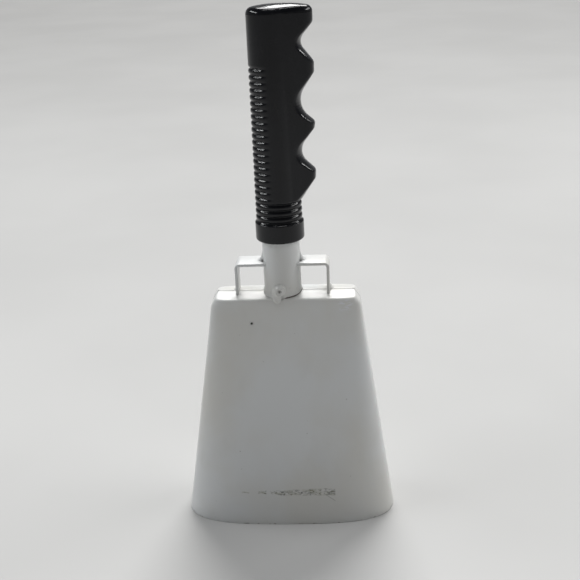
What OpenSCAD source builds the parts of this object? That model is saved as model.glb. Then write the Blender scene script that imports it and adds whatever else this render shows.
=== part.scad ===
// Handled cowbell. Millimetres, +Z up. The origin is the middle of the mouth plane, +X is the side
// that the finger grooves face, and -Y is the front.

/* [Bell] */
// Width of the mouth, side to side
mouth_w = 113.6; // [105:0.1:120]
// Depth of the mouth, front to rear
mouth_d = 52.2; // [46:0.1:58]
// Roundness of the mouth's outline: 2 is an ellipse, larger is squarer
mouth_power = 3; // [2.4:0.1:5]
// Height where the side walls end and the shoulder starts
shoulder_z = 122; // [115:0.5:124]
// Width of the bell at the shoulder
shoulder_w = 77; // [70:0.1:80]
// Depth of the bell at the shoulder
shoulder_d = 22.6; // [21:0.1:26]
// Roundness of the outline at the shoulder and the crown
crown_power = 8; // [3:0.1:9]
// Height of the crease between the walls and the crown
crease_z = 125.5; // [124.5:0.1:126]
// Width of the crown at the crease
crown_w = 72.4; // [66:0.1:73.5]
// Depth of the crown at the crease
crown_d = 20.6; // [20:0.1:21.5]
// Height of the seam along the middle of the crown
ridge_z = 126.9; // [126.4:0.1:128]
// Length of that seam
ridge_w = 70.2; // [62:0.1:71]
// How far the crown sits to the right of the mouth's middle
crown_shift = 1.4; // [0:0.1:2]
// Thickness of the sheet steel
sheet_t = 1.2; // [0.8:0.1:1.6]

/* [Seam welds] */
// Radius of the bead inside each seam
seam_bead_r = 1.5; // [1:0.1:2]
// Height of the lower end of the side beads
seam_low_z = 5; // [3:0.5:15]
// Height of the upper end of the side beads
seam_high_z = 116; // [100:0.5:118]
// Distance from the middle to the near end of each crown bead
crown_bead_in = 13; // [11:0.5:18]
// Distance from the middle to the far end of each crown bead
crown_bead_out = 31; // [22:0.5:32]

/* [Carry straps] */
// Width of the flat strip
strap_w = 13; // [10:0.1:14]
// Thickness of the flat strip
strap_t = 1.5; // [1:0.1:2]
// Distance over both straps
strap_span = 48.4; // [44:0.1:52]
// Height of the straps' upper face
strap_z = 143; // [138:0.5:148]
// Outer radius of the bend
strap_bend_r = 2.6; // [2.2:0.1:4]
// How far the straps' middle sits to the rear of the crown's seam
strap_back = 1.3; // [0:0.1:2]
// How far in front of that seam the straps' welds start
strap_weld_front = 1.2; // [0:0.1:4]
// How far the fillet weld outside each foot reaches out
foot_weld_leg = 2.4; // [1:0.1:3]
// Height of that weld above the seam
foot_weld_h = 3; // [1:0.1:4]
// Height of the fillet weld on top of each strap
top_weld_h = 7.5; // [5:0.1:10]
// How far that fillet reaches out from the tube
top_weld_reach = 3.6; // [2:0.1:5]

/* [Handle tube] */
// Outer diameter of the tube
tube_d = 19.05; // [18:0.05:19.5]
// Wall of the tube
tube_t = 1.6; // [1:0.1:2.5]
// Height of the tube's closed-in top end
tube_top_z = 263; // [255:0.5:265]
// Lean of the handle to the left, degrees
lean_left = 0.7; // [0:0.1:1.5]
// Lean of the handle to the rear, degrees
lean_back = 1.4; // [0:0.1:2]

/* [Tack welds at the tube's foot] */
// Radius of the upper lobe of the front tack weld
tack_r = 3.7; // [3.2:0.1:4.2]
// Radius of the lobe that spills over the crease
tack_spill_r = 2.5; // [2:0.1:3]
// Radius of the rear tack weld
rear_tack_r = 2.8; // [2:0.1:3.5]

/* [Grip] */
// Height of the grip's lower edge
grip_z = 155; // [152:0.5:158]
// Height of the grip's top
grip_top_z = 269.7; // [268:0.1:272]
// Body diameter at the top
grip_top_d = 21.8; // [21.2:0.1:23]
// Body diameter over the lowest ring
grip_low_d = 23.5; // [22.5:0.1:24]
// Corner radius at the top
grip_corner_r = 3.2; // [2:0.1:4]
// Collar diameter
collar_d = 24.6; // [23.6:0.1:26]
// Collar height
collar_h = 9.6; // [8:0.1:11]
// Corner radius of the collar's lower edge
collar_corner_r = 1.2; // [0.5:0.1:2]
// Rib pitch
rib_pitch = 3.14; // [2.9:0.01:3.2]
// Depth of the notches between the ribs
rib_depth = 0.8; // [0.4:0.05:1]
// Width of a notch at the surface
rib_notch_w = 1.9; // [1.2:0.1:2.4]
// Number of notches that go all the way round
ring_notches = 4; // [2:1:5]
// Number of notches on the rear half only
back_notches = 21; // [10:1:21]
// Radius of the ridge's nose that the fingers wrap round
nose_r = 6.6; // [5:0.1:8]

/* [Clapper] */
// Radius of the staple's wire
hanger_wire_r = 1.5; // [1.2:0.1:1.8]
// Distance between the staple's legs, centre to centre
hanger_span = 15; // [14:0.5:20]
// Height of the staple's bar
hanger_z = 117; // [116:0.5:118]
// Radius of the link's wire
link_wire_r = 1.25; // [1:0.05:1.4]
// Inner radius of the link
link_hole_r = 4.2; // [4:0.1:4.6]
// Slack between the link and the staple's bar
hook_play = 0.4; // [0.3:0.05:0.5]
// Slack between the rod's eye and the link
eye_play = 0.45; // [0.4:0.05:0.6]
// Radius of the clapper's rod
rod_r = 1.5; // [1.2:0.1:1.6]
// Diameter of the ball
ball_d = 16; // [12:0.5:17]
// Height of the ball's centre
ball_z = 21; // [18:0.5:30]
// Radius of the peened end under the ball
peen_r = 2.4; // [2:0.1:3]

/* [Hidden] */
$fn = 72;
paint = [0.86, 0.87, 0.85];
grip_black = [0.08, 0.08, 0.09];
bare_steel = [0.62, 0.62, 0.6];

outline_steps = 96;        // points round one bell outline
slice = 0.02;              // thickness of the slices that a hull joins
over = 2;                  // how far a cutting solid runs past what it cuts
big = 200;                 // size of a half-space block
seat = 0.01;               // gap under a weld that sits on a flat face
tube_r = tube_d / 2;
side_slope = (mouth_w - shoulder_w) / 2 / shoulder_z;
front_slope = (mouth_d - shoulder_d) / 2 / shoulder_z;
crown_under_z = ridge_z - sheet_t;
strap_weld_length = strap_w / 2 + strap_back + strap_weld_front - 1;
ridge_sink = 0.4;          // how far the ridge's flat sides start inside the round body

// Fingers' outline as [reach from the grip's axis, height, corner radius], from the top down
finger_corners = [
    [21.2, grip_top_z, grip_corner_r],
    [21, 261.4, 1.5],
    [13.1, 252, 5.3],
    [20.6, 242.2, 1.3],
    [20.4, 237.7, 1.3],
    [9.9, 222.4, 10.6],
    [19.9, 213.7, 1.2],
    [19.5, 210.9, 1.2],
    [10.3, 198.9, 8.2],
    [19.4, 189.8, 1.2],
    [19.2, 186.2, 1.2],
    [10.4, 173.2, 0.5]
];
nose_reach = finger_corners[0][0];
finger_low_z = finger_corners[len(finger_corners) - 1][1];

// Clapper heights: the link hangs on the staple's bar, the eye closes round the link's lower wire
link_mid_r = link_hole_r + link_wire_r;
link_z = hanger_z + hanger_wire_r + hook_play - link_hole_r;
link_low_z = link_z - link_mid_r;
eye_mid_r = link_wire_r + eye_play + rod_r;
peen_z = ball_z - ball_d / 2 - 1;

// ---- outlines and shared forms ----

function signed_power(value, power) = sign(value) * pow(abs(value), power);

// Closed outline between an ellipse and a rectangle
function outline(half_w, half_d, power) = [
    for (i = [0 : outline_steps - 1])
        let (turn = 360 * i / outline_steps)
        [half_w * signed_power(cos(turn), 2 / power), half_d * signed_power(sin(turn), 2 / power)]
];

// Arc that rounds the corner at b between a and c
function rounded(a, b, c, radius, steps = 8) =
    let (
        to_a = (a - b) / norm(a - b),
        to_c = (c - b) / norm(c - b),
        half = acos(to_a * to_c) / 2,
        centre = b + (to_a + to_c) / norm(to_a + to_c) * radius / sin(half),
        start = b + to_a * radius / tan(half) - centre,
        end = b + to_c * radius / tan(half) - centre,
        sweep = acos(start * end / (radius * radius)),
        turn = sign(start[0] * end[1] - start[1] * end[0])
    )
    [
        for (i = [0 : steps])
            let (angle = turn * sweep * i / steps)
            centre + [
                start[0] * cos(angle) - start[1] * sin(angle),
                start[0] * sin(angle) + start[1] * cos(angle)
            ]
    ];

function flat(corner) = [corner[0], corner[1]];

// Thin slice of the bell's form at a height; the form leans to the right as it rises
module bell_slice(z, half_w, half_d, power) {
    translate([crown_shift * min(z, shoulder_z) / shoulder_z, 0, z])
        linear_extrude(slice)
            polygon(outline(half_w, half_d, power));
}

// The bell's solid form, drawn in by inset; the inner form runs on below the mouth
module bell_form(inset) {
    drop = inset > 0 ? over : 0;
    hull() {
        bell_slice(-drop, mouth_w / 2 + side_slope * drop - inset,
            mouth_d / 2 + front_slope * drop - inset, mouth_power);
        bell_slice(shoulder_z, shoulder_w / 2 - inset, shoulder_d / 2 - inset, crown_power);
        bell_slice(crease_z - inset, crown_w / 2 - inset, crown_d / 2 - inset, crown_power);
        translate([crown_shift - ridge_w / 2 + inset, -slice / 2, ridge_z - inset - slice])
            cube([ridge_w - 2 * inset, slice, slice]);
    }
}

// Places the handle's own upright frame on the crown, with its lean
module leaned() {
    translate([0, 0, ridge_z])
        rotate([-lean_back, -lean_left, 0])
            translate([0, 0, -ridge_z])
                children();
}

module tube_form() {
    leaned()
        translate([0, 0, ridge_z - 3 * over])
            cylinder(r = tube_r, h = tube_top_z - ridge_z + 3 * over);
}

// Extrudes a drawing of X and Z along Y, centred
module along_y(width) {
    translate([0, width / 2, 0])
        rotate([90, 0, 0])
            linear_extrude(width)
                children();
}

// ---- bell ----

module half_shell(side) {
    color(paint)
        difference() {
            intersection() {
                bell_form(0);
                translate([-big / 2, side < 0 ? -big : 0, -over])
                    cube([big, big, big]);
            }
            bell_form(sheet_t);
        }
}

// Bead up the inside of a side wall, where the halves meet
module side_bead(side) {
    wall_x = mouth_w / 2 - sheet_t;
    slope = side_slope - side * crown_shift / shoulder_z;
    tilt = atan(slope);
    color(bare_steel)
        intersection() {
            translate([side * (wall_x - slope * seam_low_z), 0, seam_low_z])
                rotate([0, -side * tilt, 0])
                    cylinder(r = seam_bead_r, h = (seam_high_z - seam_low_z) / cos(tilt));
            bell_form(sheet_t);
        }
}

// Bead under one half of the crown's seam
module crown_bead(side) {
    color(bare_steel)
        intersection() {
            translate([side * crown_bead_in, 0, crown_under_z])
                rotate([0, side * 90, 0])
                    cylinder(r = seam_bead_r, h = crown_bead_out - crown_bead_in);
            bell_form(sheet_t);
        }
}

// ---- carry straps ----

module strap_outline() {
    out = strap_span / 2;
    low = crease_z - over;
    outer = rounded([out, low], [out, strap_z], [0, strap_z], strap_bend_r);
    inner = rounded([0, strap_z - strap_t], [out - strap_t, strap_z - strap_t],
        [out - strap_t, low], strap_bend_r - strap_t);
    polygon(concat([[out, low]], outer, [[0, strap_z], [0, strap_z - strap_t]], inner,
        [[out - strap_t, low]]));
}

module strap(side) {
    color(paint)
        difference() {
            mirror([side < 0 ? 1 : 0, 0, 0])
                translate([0, strap_back, 0])
                    along_y(strap_w)
                        strap_outline();
            bell_form(0);
            tube_form();
        }
}

module strap_foot_weld(side) {
    out = strap_span / 2;
    spread = foot_weld_leg * (1 + (ridge_z - crease_z + over) / foot_weld_h);
    color(paint)
        difference() {
            mirror([side < 0 ? 1 : 0, 0, 0])
                translate([0, strap_weld_length / 2 - strap_weld_front, 0])
                    along_y(strap_weld_length)
                        polygon([
                            [out, crease_z - over],
                            [out + spread, crease_z - over],
                            [out, ridge_z + foot_weld_h]
                        ]);
            bell_form(0);
        }
}

// Fillet round the tube on the rear part of a strap's upper face
module strap_top_weld(side) {
    toe = tube_r + top_weld_reach;
    low = strap_z + seat;
    hollow = rounded([toe, low], [tube_r + 0.8, low + 0.4],
        [tube_r - 0.4, strap_z + top_weld_h], 3.6);
    color(paint)
        difference() {
            intersection() {
                rotate_extrude()
                    polygon(concat([[tube_r / 2, low], [toe, low]], hollow,
                        [[tube_r - 0.4, strap_z + top_weld_h], [tube_r / 2, strap_z + top_weld_h]]));
                translate([side < 0 ? -big : 0, -strap_weld_front, 0])
                    cube([big, strap_weld_length, big]);
            }
            tube_form();
        }
}

// ---- handle ----

module handle_tube() {
    color(paint)
        difference() {
            tube_form();
            leaned()
                translate([0, 0, ridge_z - 4 * over])
                    cylinder(r = tube_r - tube_t, h = tube_top_z - ridge_z + 6 * over);
            bell_form(0);
        }
}

module front_tube_weld() {
    color(paint)
        difference() {
            union() {
                translate([-1.4, -tube_r + 1.2, ridge_z + 2.4])
                    sphere(r = tack_r);
                translate([-3.2, -crown_d / 2 + 0.4, crease_z - 0.2])
                    sphere(r = tack_spill_r);
            }
            tube_form();
            bell_form(0);
        }
}

module rear_tube_weld() {
    color(paint)
        difference() {
            translate([0.6, tube_r - 0.5, ridge_z + 0.6])
                sphere(r = rear_tack_r);
            tube_form();
            bell_form(0);
        }
}

// Section of the grip's ridge: flat sides that leave the round body and meet a round nose
function ridge_section() =
    let (
        side_r = grip_top_d / 2 - ridge_sink,
        nose_x = nose_reach - nose_r,
        splay = asin((side_r - nose_r) / nose_x),
        steps = 16
    )
    concat(
        [side_r * [sin(splay), cos(splay)]],
        [
            for (i = [0 : steps])
                let (angle = (90 - splay) * (1 - 2 * i / steps))
                [nose_x, 0] + nose_r * [cos(angle), sin(angle)]
        ],
        [side_r * [sin(splay), -cos(splay)]]
    );

// The finger side: the ridge's section, trimmed by the grooved outline turned about the axis
module finger_ridge() {
    last = len(finger_corners) - 1;
    arcs = [
        for (i = [0 : last])
            let (
                before = i == 0 ? [0, grip_top_z] : flat(finger_corners[i - 1]),
                after = i == last ? [0, finger_low_z] : flat(finger_corners[i + 1]),
                radius = finger_corners[i][2]
            )
            each rounded(before, flat(finger_corners[i]), after, radius, radius > 3 ? 8 : 3)
    ];
    intersection() {
        translate([0, 0, finger_low_z - over])
            linear_extrude(grip_top_z - finger_low_z + 2 * over)
                polygon(ridge_section());
        rotate_extrude()
            polygon(concat([[0, grip_top_z]], arcs, [[0, finger_low_z]]));
    }
}

module grip_body() {
    top_r = grip_top_d / 2;
    low_r = grip_low_d / 2;
    collar_r = collar_d / 2;
    collar_top = grip_z + collar_h;
    top_arc = rounded([0, grip_top_z], [top_r, grip_top_z], [low_r, collar_top], grip_corner_r);
    foot_arc = rounded([collar_r, collar_top], [collar_r, grip_z], [0, grip_z], collar_corner_r);
    rotate_extrude()
        polygon(concat([[0, grip_top_z]], top_arc, [[low_r, collar_top], [collar_r, collar_top]],
            foot_arc, [[0, grip_z]]));
}

// One notch between two ribs; the body's taper sets how far out it sits
module rib_notch(number) {
    z = grip_z + collar_h + (number + 0.3) * rib_pitch;
    taper = (grip_low_d - grip_top_d) / 2 / (grip_top_z - grip_z - collar_h);
    surface_r = grip_low_d / 2 - taper * (z - grip_z - collar_h);
    rotate_extrude()
        polygon([
            [surface_r - rib_depth, z],
            [surface_r + rib_depth, z + rib_notch_w],
            [surface_r + rib_depth, z - rib_notch_w]
        ]);
}

module grip() {
    color(grip_black)
        leaned()
            difference() {
                union() {
                    grip_body();
                    finger_ridge();
                }
                for (number = [0 : ring_notches - 1])
                    rib_notch(number);
                intersection() {
                    for (number = [ring_notches : ring_notches + back_notches - 1])
                        rib_notch(number);
                    translate([-big - tube_r / 3, -big / 2, 0])
                        cube([big, big, 2 * big]);
                }
                cylinder(r = tube_r, h = tube_top_z);
            }
}

// ---- clapper ----

module clapper_hanger() {
    leg_x = hanger_span / 2;
    color(bare_steel)
        intersection() {
            union() {
                translate([-leg_x, 0, hanger_z])
                    rotate([0, 90, 0])
                        cylinder(r = hanger_wire_r, h = hanger_span);
                for (side = [-1, 1])
                    translate([side * leg_x, 0, hanger_z]) {
                        sphere(r = hanger_wire_r);
                        cylinder(r = hanger_wire_r, h = ridge_z - hanger_z);
                    }
            }
            bell_form(sheet_t);
        }
}

module hanger_weld(side) {
    leg_x = hanger_span / 2;
    weld_h = 2;
    color(bare_steel)
        intersection() {
            translate([side * leg_x, 0, crown_under_z - weld_h])
                difference() {
                    cylinder(r1 = hanger_wire_r, r2 = hanger_wire_r + weld_h, h = weld_h);
                    translate([0, 0, -over])
                        cylinder(r = hanger_wire_r, h = weld_h + 2 * over);
                }
            bell_form(sheet_t);
        }
}

module clapper_link() {
    color(bare_steel)
        translate([0, 0, link_z])
            rotate([0, 90, 0])
                rotate_extrude()
                    translate([link_mid_r, 0])
                        circle(r = link_wire_r);
}

module clapper_rod() {
    rod_top_z = link_low_z - eye_mid_r;
    color(bare_steel)
        union() {
            translate([0, 0, link_low_z])
                rotate([90, 0, 0])
                    rotate_extrude()
                        translate([eye_mid_r, 0])
                            circle(r = rod_r);
            translate([0, 0, peen_z])
                cylinder(r = rod_r, h = rod_top_z - peen_z);
            difference() {
                translate([0, 0, peen_z])
                    cylinder(r = peen_r, h = over);
                translate([0, 0, ball_z])
                    sphere(r = ball_d / 2);
            }
        }
}

module clapper_ball() {
    color(bare_steel)
        translate([0, 0, ball_z])
            difference() {
                sphere(r = ball_d / 2);
                translate([0, 0, -ball_d])
                    cylinder(r = rod_r, h = 2 * ball_d);
            }
}

half_shell(-1);  // front_shell
half_shell(1);  // rear_shell
side_bead(-1);  // left_seam_weld
side_bead(1);  // right_seam_weld
crown_bead(-1);  // left_crown_weld
crown_bead(1);  // right_crown_weld
strap(-1);  // left_strap
strap(1);  // right_strap
strap_foot_weld(-1);  // left_strap_foot_weld
strap_foot_weld(1);  // right_strap_foot_weld
strap_top_weld(-1);  // left_strap_top_weld
strap_top_weld(1);  // right_strap_top_weld
handle_tube();
front_tube_weld();
rear_tube_weld();
grip();
clapper_hanger();
hanger_weld(-1);  // left_hanger_weld
hanger_weld(1);  // right_hanger_weld
clapper_link();
clapper_rod();
clapper_ball();
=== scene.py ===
"""Looks of the handled cowbell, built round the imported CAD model. Metres, in the CAD frame."""

import math

import bmesh
import bpy
import numpy as np
from mathutils import Matrix, Vector, noise


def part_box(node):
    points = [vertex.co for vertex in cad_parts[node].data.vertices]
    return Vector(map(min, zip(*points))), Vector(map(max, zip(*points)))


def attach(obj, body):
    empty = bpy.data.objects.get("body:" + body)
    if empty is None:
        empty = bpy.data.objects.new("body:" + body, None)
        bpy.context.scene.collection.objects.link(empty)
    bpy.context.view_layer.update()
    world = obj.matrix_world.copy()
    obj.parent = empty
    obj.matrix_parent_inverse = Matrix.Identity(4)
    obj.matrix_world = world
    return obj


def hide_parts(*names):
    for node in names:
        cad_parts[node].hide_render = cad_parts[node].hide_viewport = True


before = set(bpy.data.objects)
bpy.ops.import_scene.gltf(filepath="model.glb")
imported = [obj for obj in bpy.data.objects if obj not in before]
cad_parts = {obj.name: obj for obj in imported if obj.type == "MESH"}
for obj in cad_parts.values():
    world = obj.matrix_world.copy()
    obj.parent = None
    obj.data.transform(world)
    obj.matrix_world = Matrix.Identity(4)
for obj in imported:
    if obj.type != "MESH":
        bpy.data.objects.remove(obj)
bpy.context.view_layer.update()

MM = 0.001


# ---- sizes, in millimetres, taken from the CAD nodes' boxes wherever a box gives them ----

def box_mm(node):
    low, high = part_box(node)
    return np.array(low) / MM, np.array(high) / MM


SHELL_LOW, SHELL_HIGH = box_mm("front_shell")
STRAP_LOW, STRAP_HIGH = box_mm("right_strap")
HANGER_LOW, HANGER_HIGH = box_mm("clapper_hanger")
FOOT_LOW, FOOT_HIGH = box_mm("right_strap_foot_weld")
TOP_LOW, TOP_HIGH = box_mm("right_strap_top_weld")
LINK_LOW, LINK_HIGH = box_mm("clapper_link")
ROD_LOW, ROD_HIGH = box_mm("clapper_rod")
BALL_LOW, BALL_HIGH = box_mm("clapper_ball")

MOUTH = (SHELL_HIGH[0], -SHELL_LOW[1], 3.0)      # half width, half depth, squareness
SHOULDER = (38.5, 11.3, 8.0)
CREASE = (36.2, 10.3, 8.0)
CROWN_SHIFT = 1.4
SHOULDER_Z, CREASE_Z = 122.0, 125.5
RIDGE_Z = SHELL_HIGH[2]
RIDGE_HALF = 35.1
SHEET = 1.2
TUBE_R, TUBE_WALL, TUBE_TOP = 9.525, 1.6, 263.0
LEAN_LEFT, LEAN_BACK = 0.7, 1.4
GRIP_Z, GRIP_TOP = 155.0, 269.7
COLLAR_R, COLLAR_TOP = 12.3, 164.6
BODY_LOW_R, BODY_TOP_R = 11.75, 10.9
RIB_PITCH, RIB_DEPTH, RIB_COUNT = 3.14, 0.78, 25
FIRST_NOTCH = COLLAR_TOP + 0.3 * RIB_PITCH
ROD_R = 1.5

LEAN = (
    Matrix.Translation((0, 0, RIDGE_Z))
    @ Matrix.Rotation(math.radians(-LEAN_LEFT), 4, "Y")
    @ Matrix.Rotation(math.radians(-LEAN_BACK), 4, "X")
    @ Matrix.Translation((0, 0, -RIDGE_Z))
)


def leaned(points):
    """Points of the handle's own upright frame, set into the row frame."""
    matrix = np.array(LEAN)
    return np.asarray(points) @ matrix[:3, :3].T + matrix[:3, 3]


# ---- mesh helpers ----

def circle(count):
    """Directions spread evenly round a circle, in radians."""
    return np.linspace(0, 2 * math.pi, count, endpoint=False)


def loft(rings, closed=False):
    """Skin over closed loops of equal length, with a face over each end unless it closes on itself."""
    count = len(rings[0])
    verts = np.concatenate([np.asarray(ring, float) for ring in rings])
    steps = len(rings) if closed else len(rings) - 1
    index = np.arange(count)
    after = (index + 1) % count
    faces = []
    for step in range(steps):
        a, b = step * count, (step + 1) % len(rings) * count
        faces.extend(np.stack([a + index, a + after, b + after, b + index], 1).tolist())
    if not closed:
        faces.append(index[::-1].tolist())
        faces.append((index + (len(rings) - 1) * count).tolist())
    return verts, faces


def sweep(path, radii, sides=28, closed=False):
    """Round wire along a path, its frames carried on without twist."""
    path = np.asarray(path, float)
    count = len(path)
    radii = np.broadcast_to(np.asarray(radii, float), (count,))
    if closed:
        tangents = np.roll(path, -1, 0) - np.roll(path, 1, 0)
    else:
        tangents = np.gradient(path, axis=0)
    tangents /= np.linalg.norm(tangents, axis=1)[:, None]
    side = np.cross(tangents[0], [0.31, 0.17, 0.93])
    side /= np.linalg.norm(side)
    turn = circle(sides)
    rings = []
    for point, tangent, radius in zip(path, tangents, radii):
        side = side - tangent * (side @ tangent)
        side /= np.linalg.norm(side)
        up = np.cross(tangent, side)
        rings.append(point + radius * (np.outer(np.cos(turn), side) + np.outer(np.sin(turn), up)))
    return loft(rings, closed)


def arc(centre, radius, start, end, steps):
    """Points of an arc in the plane, degrees."""
    turn = np.radians(np.linspace(start, end, steps + 1))
    return np.array(centre) + radius * np.stack([np.cos(turn), np.sin(turn)], 1)


def level_ring(radius, turns, z):
    """Level loop of points at the given distance or distances from the Z axis."""
    return np.stack([radius * np.cos(turns), radius * np.sin(turns), np.full_like(turns, z)], 1)


def bezier(a, b, c, steps):
    """Quadratic curve that rounds the corner b, without its first point."""
    t = np.linspace(0, 1, steps + 1)[1:, None]
    return (1 - t) ** 2 * a + 2 * t * (1 - t) * b + t * t * c


def ramp(value, start, end):
    """Smooth step from 0 at start to 1 at end."""
    t = np.clip((np.asarray(value, float) - start) / (end - start), 0, 1)
    return t * t * (3 - 2 * t)


def ripple_at(x, y, z):
    """Smooth noise from -1 to 1 at a place."""
    return noise.noise(Vector((x, y, z)))


def lumps(points, size, seed, octaves=3):
    """Smooth noise from -1 to 1 at each point, with features of about the given size."""
    found = np.zeros(len(points))
    for octave in range(octaves):
        scale = 2 ** octave / size
        found += [
            ripple_at(p[0] * scale + seed, p[1] * scale, p[2] * scale) / 1.8 ** octave
            for p in points
        ]
    return found


def put(name, data):
    """Object in the scene."""
    obj = bpy.data.objects.new(name, data)
    bpy.context.scene.collection.objects.link(obj)
    return obj


def piece(name, made, body, materials, replaces=(), material_of=None, sharp=42):
    """Mesh object from (verts in mm, faces), riding on a body, with the given materials."""
    verts, faces = made
    mesh = bpy.data.meshes.new(name)
    mesh.from_pydata((np.asarray(verts) * MM).tolist(), [], faces)
    bm = bmesh.new()
    bm.from_mesh(mesh)
    bmesh.ops.remove_doubles(bm, verts=bm.verts, dist=1e-7)
    bmesh.ops.recalc_face_normals(bm, faces=bm.faces)
    bm.to_mesh(mesh)
    bm.free()
    for material in materials:
        mesh.materials.append(material)
    mesh.polygons.foreach_set("use_smooth", [True] * len(mesh.polygons))
    mesh.set_sharp_from_angle(angle=math.radians(sharp))
    if material_of:
        for polygon in mesh.polygons:
            polygon.material_index = material_of(polygon.center / MM, polygon.normal)
    obj = put(name, mesh)
    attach(obj, body)
    if replaces:
        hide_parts(*replaces)
    return obj


# ---- node helpers ----

class Shader:
    """A material under construction: every method returns an output socket."""

    def __init__(self, name):
        self.material = bpy.data.materials.new(name)
        self.material.use_nodes = True
        self.tree = self.material.node_tree
        self.tree.nodes.clear()
        self.output = self.node("OutputMaterial")
        self.bsdf = self.node("BsdfPrincipled")
        self.tree.links.new(self.bsdf.outputs["BSDF"], self.output.inputs["Surface"])
        self.place = self.node("TexCoord").outputs["Object"]
        split = self.node("SeparateXYZ")
        self.tree.links.new(self.place, split.inputs[0])
        self.x, self.y, self.z = split.outputs

    def node(self, kind):
        return self.tree.nodes.new("ShaderNode" + kind)

    def plug(self, value, socket):
        if isinstance(value, bpy.types.NodeSocket):
            self.tree.links.new(value, socket)
        elif isinstance(value, (tuple, list)) and len(value) == 3 and socket.type == "RGBA":
            socket.default_value = (*value, 1)
        else:
            socket.default_value = value

    def math(self, operation, a, b=0.0, c=0.0, clamp=False):
        node = self.node("Math")
        node.operation = operation
        node.use_clamp = clamp
        for value, socket in zip((a, b, c), node.inputs):
            self.plug(value, socket)
        return node.outputs[0]

    def scaled(self, value, factor, plus, clamp=False):
        """value * factor + plus"""
        return self.math("MULTIPLY_ADD", value, factor, plus, clamp)

    def step(self, value, start, end, low=0.0, high=1.0):
        node = self.node("MapRange")
        node.interpolation_type = "SMOOTHSTEP"
        for name, given in (("Value", value), ("From Min", start), ("From Max", end),
                            ("To Min", low), ("To Max", high)):
            self.plug(given, node.inputs[name])
        return node.outputs[0]

    def band(self, value, low, high, soft):
        """1 between low and high, falling to 0 over soft on both sides."""
        rise = self.step(value, low - soft, low)
        fall = self.step(value, high, high + soft, 1.0, 0.0)
        return self.math("MULTIPLY", rise, fall)

    def stretched(self, sizes, offset=(0, 0, 0)):
        node = self.node("Mapping")
        self.plug(self.place, node.inputs["Vector"])
        node.inputs["Scale"].default_value = [1 / (size * MM) for size in sizes]
        node.inputs["Location"].default_value = offset
        return node.outputs[0]

    def noise(self, sizes, offset=(0, 0, 0), detail=3.0, rough=0.5, warp=0.0):
        """Noise with features of the given size in mm, or sizes along X, Y and Z."""
        if not isinstance(sizes, tuple):
            sizes = (sizes,) * 3
        node = self.node("TexNoise")
        self.plug(self.stretched(sizes, offset), node.inputs["Vector"])
        node.inputs["Scale"].default_value = 1.0
        node.inputs["Detail"].default_value = detail
        node.inputs["Roughness"].default_value = rough
        node.inputs["Distortion"].default_value = warp
        return node.outputs["Fac"]

    def patches(self, start, end, *form, **kind):
        """Mask of noise: 0 where it is below start, 1 where it is above end."""
        return self.step(self.noise(*form, **kind), start, end)

    def cells(self, size, offset=(0, 0, 0), feature="F1"):
        node = self.node("TexVoronoi")
        node.feature = feature
        self.plug(self.stretched((size, size, size), offset), node.inputs["Vector"])
        node.inputs["Scale"].default_value = 1.0
        return node.outputs["Distance"]

    def away(self, centre):
        """Distance in millimetres from a point given in millimetres."""
        node = self.node("VectorMath")
        node.operation = "DISTANCE"
        self.plug(self.place, node.inputs[0])
        node.inputs[1].default_value = [c * MM for c in centre]
        return self.math("MULTIPLY", node.outputs["Value"], 1 / MM)

    def spot(self, centre, radius, soft, ragged=0.0):
        """Mask of a ragged round mark."""
        distance = self.away(centre)
        if ragged:
            edge = self.math("SUBTRACT", self.noise((radius * 0.7,) * 3, detail=2.0), 0.5)
            distance = self.math("MULTIPLY_ADD", edge, ragged, distance)
        return self.step(distance, radius - soft, radius + soft, 1.0, 0.0)

    def mix(self, share, a, b):
        node = self.node("Mix")
        node.data_type = "RGBA"
        sockets = [s for s in node.inputs if s.type == "RGBA"]
        self.plug(share, node.inputs[0])
        self.plug(a, sockets[0])
        self.plug(b, sockets[1])
        return [s for s in node.outputs if s.type == "RGBA"][0]

    def tint(self, colour, mask, amount, other):
        """The colour, turned towards another by the amount where the mask is 1."""
        return self.mix(self.math("MULTIPLY", mask, amount), colour, other)

    def both(self, *masks):
        found = masks[0]
        for mask in masks[1:]:
            found = self.math("MULTIPLY", found, mask)
        return found

    def either(self, *masks):
        found = masks[0]
        for mask in masks[1:]:
            found = self.math("MAXIMUM", found, mask)
        return found

    def bump(self, height, strength, distance, under=None):
        node = self.node("Bump")
        node.inputs["Strength"].default_value = strength
        node.inputs["Distance"].default_value = distance * MM
        self.plug(height, node.inputs["Height"])
        if under:
            self.plug(under, node.inputs["Normal"])
        return node.outputs["Normal"]

    def finish(self, colour, rough, normal, metallic=0.0, specular=0.5, coat=0.0, coat_rough=0.1):
        inputs = self.bsdf.inputs
        self.plug(colour, inputs["Base Color"])
        self.plug(rough, inputs["Roughness"])
        self.plug(normal, inputs["Normal"])
        self.plug(metallic, inputs["Metallic"])
        inputs["Specular IOR Level"].default_value = specular
        inputs["Coat Weight"].default_value = coat
        inputs["Coat Roughness"].default_value = coat_rough
        return self.material


# ---- materials ----

PAINT = (0.70, 0.715, 0.72)
PAINT_WARM = (0.66, 0.655, 0.625)
RUST = (0.075, 0.028, 0.020)
CHIP_AND_SHADE_DARK = (0.028, 0.027, 0.024)
CHIP = (-16.1, -12.3, 113.3)


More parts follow.
